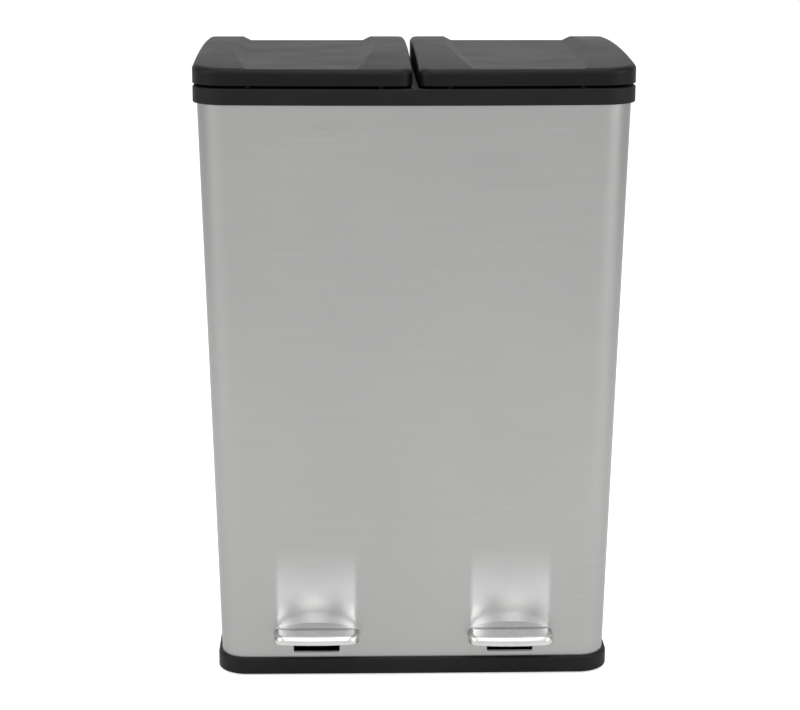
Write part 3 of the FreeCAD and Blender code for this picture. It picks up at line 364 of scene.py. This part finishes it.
@dataclass(frozen=True)
class BrushedSteel:
    """Stainless sheet with faint level brushed lines and soft, slow changes of tone."""

    name: str = "brushed steel"
    tone: float = 0.40
    contrast: float = 0.02
    roughness: float = 0.34
    level: float = 14.0
    upright: float = 1500.0
    relief: float = 0.06
    # The scoop fields below place the painted highlight in the scoops and set its base colour.
    scoop_at: float = PEDAL_AT
    scoop_half: float = 44.0
    scoop_span: tuple[float, float] = (75.0, 150.0)
    scoop_sill: float = 53.0
    # Base colour of the painted highlight inside the scoops, lighter than the sheet's tone.
    scoop_highlight_tone: float = 0.62

    def scoop_highlight_mask(self, graph: Graph) -> bpy.types.NodeSocket:
        """Mask of the painted highlight: a lighter base colour inside the two scoops that stands in
        for light reflected there, fading out above them."""
        place = graph.add("SeparateXYZ", Vector=graph.add("TexCoord").outputs["Object"])
        off = graph.maths("ABSOLUTE", graph.maths(
            "SUBTRACT", graph.maths("ABSOLUTE", place.outputs["X"]), self.scoop_at * MM))
        within = graph.ramp(off, (self.scoop_half - 5) * MM, (self.scoop_half + 1) * MM, 1.0,
                            0.0)
        low, high = self.scoop_span
        fade = graph.ramp(place.outputs["Z"], low * MM, high * MM, 1.0, 0.0)
        above = graph.ramp(place.outputs["Z"], (self.scoop_sill - 2) * MM, self.scoop_sill * MM)
        ahead = graph.ramp(place.outputs["Y"], -120 * MM, -110 * MM, 1.0, 0.0)
        return graph.maths("MULTIPLY", graph.maths("MULTIPLY", within, fade),
                           graph.maths("MULTIPLY", above, ahead))

    def build(self) -> bpy.types.Material:
        """Makes the material."""
        material, graph, shader = start_material(self.name)
        lines = Effect.place(graph, Effect.brushing(), Level=self.level,
                             Upright=self.upright).outputs["Lines"]
        clouds = graph.noise(graph.object_place((3.0, 3.0, 2.0)), 1.6, 2.0)
        blend = graph.maths("ADD", graph.maths("MULTIPLY", lines, 0.6),
                            graph.maths("MULTIPLY", clouds, 0.4))
        low, high = self.tone - self.contrast, self.tone + self.contrast
        tint = graph.mix(graph.ramp(blend, 0.3, 0.7), (low, low, low * 0.99, 1),
                         (high, high, high * 0.985, 1))
        # Painted highlight: inside the scoops the base colour is lightened to a pale grey, standing
        # in for light reflected there.
        tint = graph.mix(self.scoop_highlight_mask(graph), tint, grey(self.scoop_highlight_tone))
        graph.tree.links.new(tint, shader.inputs["Base Color"])
        shader.inputs["Metallic"].default_value = 1.0
        rough = graph.ramp(lines, 0.2, 0.8, self.roughness - 0.04, self.roughness + 0.05)
        graph.tree.links.new(rough, shader.inputs["Roughness"])
        bump(graph, shader, lines, self.relief, 0.05)
        return material


@dataclass(frozen=True)
class MouldedPlastic:
    """Moulded plastic with a fine spark texture."""

    name: str
    tone: tuple[float, float, float] = (0.0052, 0.0052, 0.0056)
    roughness: float = 0.5
    gloss: float = 0.2
    grain: float = 1400.0
    relief: float = 0.15
    dust: float = 0.03
    dust_tone: float = 0.05

    def build(self) -> bpy.types.Material:
        """Makes the material."""
        material, graph, shader = start_material(self.name)
        texture = Effect.place(graph, Effect.texture(), Grain=self.grain)
        dark = tuple(0.8 * part for part in self.tone) + (1.0,)
        light = tuple(1.25 * part for part in self.tone) + (1.0,)
        tint = graph.mix(graph.ramp(texture.outputs["Drift"], 0.3, 0.7), dark, light)
        settled = Effect.place(graph, Effect.dust(), Amount=self.dust).outputs["Mask"]
        dusty = tuple(part + self.dust_tone for part in self.tone) + (1.0,)
        graph.tree.links.new(graph.mix(settled, tint, dusty), shader.inputs["Base Color"])
        rough = graph.ramp(texture.outputs["Drift"], 0.2, 0.8, self.roughness - 0.03,
                           self.roughness + 0.05)
        graph.tree.links.new(rough, shader.inputs["Roughness"])
        shader.inputs["Specular IOR Level"].default_value = self.gloss
        bump(graph, shader, texture.outputs["Height"], self.relief, 0.08)
        return material


@dataclass(frozen=True)
class PlatedSteel:
    """Plated or polished steel with faint clouds and fine scratches."""

    name: str
    tone: tuple[float, float, float] = (0.55, 0.56, 0.57)
    roughness: float = 0.3
    clouding: float = 0.12
    grain: float = 900.0
    scratch_length: float = 40.0

    def build(self) -> bpy.types.Material:
        """Makes the material."""
        material, graph, shader = start_material(self.name)
        clouds = graph.noise(graph.object_place(), 60.0, 4.0, 0.6)
        low = tuple(part * (1 - self.clouding) for part in self.tone) + (1.0,)
        high = tuple(min(1.0, part * (1 + self.clouding)) for part in self.tone) + (1.0,)
        tint = graph.mix(graph.ramp(clouds, 0.3, 0.7), low, high)
        graph.tree.links.new(tint, shader.inputs["Base Color"])
        shader.inputs["Metallic"].default_value = 1.0
        scratches = Effect.place(graph, Effect.brushing(), Level=self.grain,
                                 Upright=self.scratch_length).outputs["Lines"]
        rough = graph.ramp(scratches, 0.2, 0.8, self.roughness - 0.05, self.roughness + 0.08)
        graph.tree.links.new(rough, shader.inputs["Roughness"])
        bump(graph, shader, scratches, 0.04, 0.05)
        return material


def start_material(name: str) -> tuple[bpy.types.Material, Graph, bpy.types.Node]:
    """A material with an empty graph and its shader and output."""
    material = bpy.data.materials.new(name)
    material.use_nodes = True
    graph = Graph(material.node_tree)
    shader = graph.add("BsdfPrincipled")
    graph.add("OutputMaterial", Surface=shader.outputs["BSDF"])
    return material, graph, shader


def bump(graph: Graph, shader: bpy.types.Node, height: bpy.types.NodeSocket, strength: float,
         depth: float) -> None:
    """Feeds a height into the shader's normal; depth is in millimetres."""
    node = graph.add("Bump", Height=height, Strength=strength, Distance=depth * MM)
    graph.tree.links.new(node.outputs["Normal"], shader.inputs["Normal"])


# ------------------------------------------------------------------ brushed shell

@dataclass(frozen=True)
class SteelShell:
    """The tapered shell: one wrapped sheet with two stamped scoops, two lever slots and a
    turned-in foot."""

    foot: Plan = Plan(207.25, -145.5, 145.5, 21477.3, 28.0)
    top: Plan = Plan(224.0, -167.4, 161.0, 2795.55, 35.0)
    low: float = 6.0
    high: float = 632.0
    sheet: float = 0.6
    scoop_at: float = PEDAL_AT
    ledge: float = 53.4
    scoop_top: float = 131.0
    scoop_half: tuple[float, float] = (44.0, 42.0)
    scoop_depth: tuple[float, float] = (17.0, 0.0)
    softness: float = 0.9
    slot_half: float = 24.25
    slot_low: float = 27.0
    slot_high: float = 52.0
    front_half: float = 181.0
    front_steps: int = 91
    scoop_steps: int = 65
    scoop_margin: float = 48.0
    turned_in: tuple[tuple[float, float], ...] = ((14.0, 0.0), (7.0, 0.0), (0.8, 0.0),
                                                  (0.25, 0.2))
    crease: float = 38.0

    def fractions(self) -> np.ndarray:
        """Fractions across the front: even, with the slot edges and closer in the scoops."""
        width = 2 * self.front_half
        places = [np.linspace(0, 1, self.front_steps)]
        for sign in (-1, 1):
            middle = sign * self.scoop_at
            scoop = middle + np.linspace(-self.scoop_margin, self.scoop_margin,
                                         self.scoop_steps)
            edges = np.array([middle - self.slot_half, middle + self.slot_half])
            places += [0.5 + scoop / width, 0.5 + edges / width]
        together = np.unique(np.round(np.concatenate(places), 5))
        wanted = np.concatenate([places[2], places[4]])
        near = np.min(np.abs(together[:, None] - wanted[None]), axis=1)
        return together[(near > 0.0016) | (near < 2e-5)]

    def levels(self) -> tuple[np.ndarray, np.ndarray]:
        """Heights of the rows, and how far each row takes part in the scoops.

        Returns:
            Heights, and shares from 0, on the plain face, to 1, in the scoop.
        """
        step = np.linspace(0, 1, 13)
        below = np.concatenate([np.linspace(self.low + 0.8, self.slot_low, 6),
                                np.linspace(self.slot_low, self.slot_high, 9)[1:],
                                [self.ledge - 0.7]])
        ledge = self.ledge - 0.35 + 0.7 * step
        above = np.concatenate([np.linspace(self.ledge + 0.9, self.scoop_top + 8, 44),
                                np.linspace(self.scoop_top + 16, self.high, 34)])
        share = np.concatenate([np.zeros(len(below)), step ** 1.2, np.ones(len(above))])
        return np.concatenate([below, ledge, above]), share

    def scoop(self, across: np.ndarray, height: np.ndarray) -> np.ndarray:
        """Depth of the scoops: an arc over each chord, sqrt(R^2 - x^2) - (R - D), where the
        depth D fades linearly with height. The rim is softened by sqrt(d^2 + e^2) - e."""
        climb = np.clip((height - self.ledge) / (self.scoop_top - self.ledge), 0, 1)
        deep = self.scoop_depth[0] + climb * (self.scoop_depth[1] - self.scoop_depth[0])
        half = self.scoop_half[0] + climb * (self.scoop_half[1] - self.scoop_half[0])
        total = np.zeros(np.broadcast(across, height).shape)
        for sign in (-1, 1):
            x = np.abs(across - sign * self.scoop_at)
            safe = np.maximum(deep, 1e-6)
            radius = (half ** 2 + safe ** 2) / (2 * safe)
            arc = np.sqrt(np.maximum(radius ** 2 - x ** 2, 0)) - (radius - safe)
            depth = np.where(x < half, np.maximum(arc, 0), 0)
            total += np.sqrt(depth ** 2 + self.softness ** 2) - self.softness
        return total

    def build(self, material: bpy.types.Material) -> bpy.types.Object:
        """Ruled surface from the foot plan to the top plan, pushed in at the scoops, with
        its foot turned in and its slots left open, then given the sheet's thickness."""
        across = self.fractions()
        heights, share = self.levels()
        bottom, top = self.foot.points(across), self.top.points(across)
        climb = ((heights - self.low) / (self.high - self.low))[:, None, None]
        flat = bottom[None] * (1 - climb) + top[None] * climb
        rows = np.concatenate([flat, np.broadcast_to(heights[:, None, None],
                                                     flat.shape[:2] + (1,))], axis=2)
        front = len(across)
        depth = self.scoop(rows[:, :front, 0], rows[:, :front, 2])
        rows[:, :front, 1] += depth * share[:, None]
        turned = []
        for inset, lift in self.turned_in:
            plan = self.foot.inset(inset).points(across)
            turned.append(np.column_stack([plan, np.full(len(plan), self.low + lift)]))
        rows = np.concatenate([np.array(turned), rows])
        count, columns = rows.shape[:2]
        centre = (rows[:-1] + np.roll(rows[:-1], -1, axis=1) + rows[1:]
                  + np.roll(rows[1:], -1, axis=1)) / 4
        sideways = np.abs(np.abs(centre[..., 0]) - self.scoop_at) < self.slot_half
        tall = (centre[..., 2] > self.slot_low) & (centre[..., 2] < self.slot_high)
        open_slot = sideways & tall & (centre[..., 1] < -100)
        faces = grid_faces(count, columns, True, keep=~open_slot)
        thing = new_object("brushed_shell", rows.reshape(-1, 3), faces, self.crease)
        solidify(thing, self.sheet)
        return finish_piece(thing, "bin", "steel", material, "steel_shell")


# ------------------------------------------------------------------ pedals

@dataclass(frozen=True)
class PedalPlate:
    """A stamped plate with a rolled lip round its front and sides, hollow below. Its droop,
    in degrees, tilts its front edge down."""

    side: Side
    droop: float
    at: tuple[float, float, float] = (PEDAL_AT, -147.8, 53.2)
    half: float = 46.0
    reach: float = 29.2
    bow: float = 3.0
    corner: float = 13.0
    height: float = 8.6
    roll: float = 6.0
    fall: float = 8.0
    sheet: float = 1.8
    front_steps: int = 41
    roll_steps: int = 13
    crease: float = 50.0

    def path(self, inset: float, steps: int = 12) -> np.ndarray:
        """The edge of the plate set in by a distance: up the left side, round the bowed
        front and down the right side.

        Returns:
            Points, (N, 2), from the left rear end to the right rear end.
        """
        radius = (self.half ** 2 + self.bow ** 2) / (2 * self.bow) - inset
        plan = Plan(self.half - inset, inset - self.reach, 60.0, radius, self.corner - inset)
        count = self.front_steps
        loop = plan.points(np.linspace(0, 1, count), steps, 2)
        front = loop[:count + steps - 1]
        left = (front[count:] * [-1, 1])[::-1]
        ends = np.array([[-(self.half - inset), 0.0]])
        return np.vstack([ends, left, front, ends * [-1, 1]])

    def build(self, material: bpy.types.Material) -> bpy.types.Object:
        """Rows over a roll, a quarter of an ellipse, from the lip's foot to the flat top,
        which is filled to the rear edge."""
        edge = self.path(0.0)
        rows = [np.column_stack([edge, np.full(len(edge), -self.height)])]
        for angle in np.radians(np.linspace(0, 90, self.roll_steps)):
            path = self.path(self.roll * (1 - math.cos(angle)))
            lift = -self.fall * (1 - math.sin(angle))
            rows.append(np.column_stack([path, np.full(len(path), lift)]))
        inner = rows[-1]
        share = np.linspace(0, 1, len(inner))
        rear = np.column_stack([(2 * share - 1) * (self.half - self.roll), np.zeros(len(inner)),
                                np.zeros(len(inner))])
        for step in (0.35, 0.7, 1.0):
            rows.append(inner * (1 - step) + rear * step)
        grid = np.array(rows)
        turn = math.radians(self.droop)
        y, z = grid[..., 1].copy(), grid[..., 2].copy()
        grid[..., 1] = y * math.cos(turn) - z * math.sin(turn) + self.at[1]
        grid[..., 2] = y * math.sin(turn) + z * math.cos(turn) + self.at[2]
        grid[..., 0] += self.side.value * self.at[0]
        faces = grid_faces(grid.shape[0], grid.shape[1], False)
        thing = new_object(self.side.word + "_pedal", grid.reshape(-1, 3), faces,
                           self.crease)
        solidify(thing, self.sheet)
        return finish_piece(thing, self.side.word + "_pedal", "pedal_steel", material,
                            self.side.word + "_pedal_plate")


# ------------------------------------------------------------------ the frame's own nodes

@dataclass
class Dresser:
    """Gives every CAD node that shows its finish."""

    finishes: dict[str, bpy.types.Material] = field(default_factory=dict)

    def dress(self) -> None:
        """Assigns each node the material of its slot in the record."""
        for entry in frame["record"]["subparts"]:
            thing = frame["nodes"][entry["node"]]
            thing.data.materials.clear()
            thing.data.materials.append(self.finishes[entry["material_slot"]])
            LOG.info("%s: %s", entry["node"], entry["material_slot"])


# ------------------------------------------------------------------ studio

@dataclass(frozen=True)
class Studio:
    """Pale floor, white surround, soft lights, and the camera of the photograph."""

    eye: tuple[float, float, float] = (-68.9, -2340.2, 861.6)
    pan: float = 1.41
    tilt: float = 12.99
    roll: float = 0.09
    lens: float = 96.66
    surround: float = 0.55
    behind: float = 0.8
    flags: float = 0.6
    floor_glow: float = 0.65
    floor_gloss: float = 0.2

    def build(self) -> None:
        """Sets up the camera, floor, world and lamps."""
        self.set_camera()
        self.lay_floor()
        self.light_world()
        self.hang_lamp("top light", (0, -200, 2300), (0, 0, 400), 1800, 14)
        self.hang_lamp("front light", (0, -2300, 2300), (0, -150, 100), 1500, 12)
        self.hang_lamp("left light", (-2300, -900, 1500), (0, 0, 350), 1400, 18)
        self.hang_lamp("right light", (2300, -1100, 1300), (0, 0, 350), 1400, 18)
        settings = bpy.context.scene.view_settings
        settings.view_transform = "Standard"

    def set_camera(self) -> None:
        """Pinhole camera fitted to the edges of the bin in the photograph."""
        data = bpy.data.cameras.new("camera")
        data.lens, data.sensor_width, data.sensor_fit = self.lens, 36.0, "HORIZONTAL"
        data.clip_end = 50
        camera = bpy.data.objects.new("camera", data)
        bpy.context.scene.collection.objects.link(camera)
        turn = (Matrix.Rotation(-math.radians(self.pan), 4, "Z")
                @ Matrix.Rotation(math.radians(90 - self.tilt), 4, "X")
                @ Matrix.Rotation(math.radians(self.roll), 4, "Z"))
        camera.matrix_world = Matrix.Translation([v * MM for v in self.eye]) @ turn
        bpy.context.scene.camera = camera

    def lay_floor(self) -> None:
        """A wide pale floor that the camera sees as white and that keeps the shadow."""
        reach = 9000.0
        corners = np.array([[-reach, -reach, 0], [reach, -reach, 0], [reach, reach, 0],
                            [-reach, reach, 0]])
        floor = new_object("floor", corners, [[0, 1, 2, 3]])
        material, graph, shader = start_material("pale floor")
        shade = graph.noise(graph.object_place(), 3.0)
        tint = graph.mix(graph.ramp(shade, 0.3, 0.7), grey(0.86), grey(0.9))
        graph.tree.links.new(tint, shader.inputs["Base Color"])
        shader.inputs["Roughness"].default_value = 0.8
        shader.inputs["Specular IOR Level"].default_value = 0.1
        rays = graph.add("LightPath")
        level = graph.add("MapRange", Value=rays.outputs["Is Camera Ray"])
        level.inputs["To Min"].default_value = self.floor_gloss
        level.inputs["To Max"].default_value = self.floor_glow
        glow = graph.add("Emission", Color=grey(1.0), Strength=level.outputs["Result"])
        both = graph.add("AddShader", i0=shader.outputs["BSDF"], i1=glow.outputs["Emission"])
        seen = graph.maths("MAXIMUM", rays.outputs["Is Camera Ray"],
                           rays.outputs["Is Glossy Ray"])
        choice = graph.add("MixShader", i0=seen, i1=shader.outputs["BSDF"],
                           i2=both.outputs["Shader"])
        output = [n for n in graph.tree.nodes if n.type == "OUTPUT_MATERIAL"][0]
        graph.tree.links.new(choice.outputs["Shader"], output.inputs["Surface"])
        floor.data.materials.append(material)

    def light_world(self) -> None:
        """A surround that lights softly and that the camera sees white. Reflections see it
        white in front, a little darker behind and grey at the sides, which draws the
        corners."""
        world = bpy.data.worlds.new("surround")
        world.use_nodes = True
        bpy.context.scene.world = world
        graph = Graph(world.node_tree)
        rays = graph.add("LightPath")
        mirrored = graph.maths("MAXIMUM", rays.outputs["Is Glossy Ray"],
                               rays.outputs["Is Transmission Ray"])
        way = graph.add("SeparateXYZ", Vector=graph.add("TexCoord").outputs["Generated"])
        depth = graph.ramp(way.outputs["Y"], -0.2, 0.7, 1.0, self.behind)
        aside = graph.ramp(graph.maths("ABSOLUTE", way.outputs["X"]), 0.45, 0.85)
        beside = graph.maths("MULTIPLY", aside, graph.ramp(way.outputs["Y"], -0.3, 0.1))
        kept = graph.maths("SUBTRACT", 1.0, graph.maths("MULTIPLY", beside, self.flags))
        soft = graph.mix(mirrored, grey(self.surround), graph.maths("MULTIPLY", depth, kept))
        colour = graph.mix(rays.outputs["Is Camera Ray"], soft, grey(1.0))
        back = graph.add("Background", Color=colour, Strength=1.0)
        graph.add("OutputWorld", Surface=back.outputs["Background"])

    def hang_lamp(self, name: str, place: Sequence[float], target: Sequence[float],
                  size: float, power: float) -> None:
        """A square soft light that faces a target.

        Args:
            name: The lamp's name.
            place: Where it hangs, in millimetres.
            target: What it faces, in millimetres.
            size: Its side, in millimetres.
            power: Its power in watts.
        """
        data = bpy.data.lights.new(name, "AREA")
        data.size, data.energy = size * MM, power
        lamp = bpy.data.objects.new(name, data)
        bpy.context.scene.collection.objects.link(lamp)
        aim = (Matrix.Translation([v * MM for v in target]).translation
               - Matrix.Translation([v * MM for v in place]).translation)
        lamp.matrix_world = (Matrix.Translation([v * MM for v in place])
                             @ aim.to_track_quat("-Z", "Y").to_matrix().to_4x4())


# ------------------------------------------------------------------ assembly

def make_finishes() -> dict[str, bpy.types.Material]:
    """One material for each slot of the record."""
    return {
        "steel": BrushedSteel().build(),
        "pedal_steel": PlatedSteel("pedal steel", (0.62, 0.62, 0.61), 0.22, 0.04).build(),
        "zinc_steel": PlatedSteel("zinc plate", (0.52, 0.53, 0.55), 0.34).build(),
        "fastener": PlatedSteel("bright plate", (0.58, 0.58, 0.58), 0.25, 0.06).build(),
        "black_plastic": MouldedPlastic("black mouldings").build(),
        "lid_plastic": MouldedPlastic("satin lid", (0.0030, 0.0030, 0.0032), 0.44, 0.17,
                                      relief=0.1).build(),
        "bucket_plastic": MouldedPlastic("bucket plastic", (0.03, 0.031, 0.033), 0.55,
                                         grain=900.0, dust=0.0).build(),
        "nylon": MouldedPlastic("nylon", (0.07, 0.07, 0.068), 0.4, 0.5, 700.0, 0.05,
                                0.0).build(),
        "rubber": MouldedPlastic("rubber", (0.004, 0.004, 0.004), 0.8, 0.1, 600.0, 0.2,
                                 0.0).build(),
    }


def main() -> None:
    """Builds the finishes, the pieces and the studio."""
    logging.basicConfig(level=logging.INFO, format="%(message)s")
    bpy.context.view_layer.update()
    finishes = make_finishes()
    Dresser(finishes).dress()
    SteelShell().build(finishes["steel"])
    PedalPlate(Side.LEFT, 0.0).build(finishes["pedal_steel"])
    PedalPlate(Side.RIGHT, 5.5).build(finishes["pedal_steel"])
    Studio().build()
    bpy.context.view_layer.update()


if __name__ == "__main__":
    main()
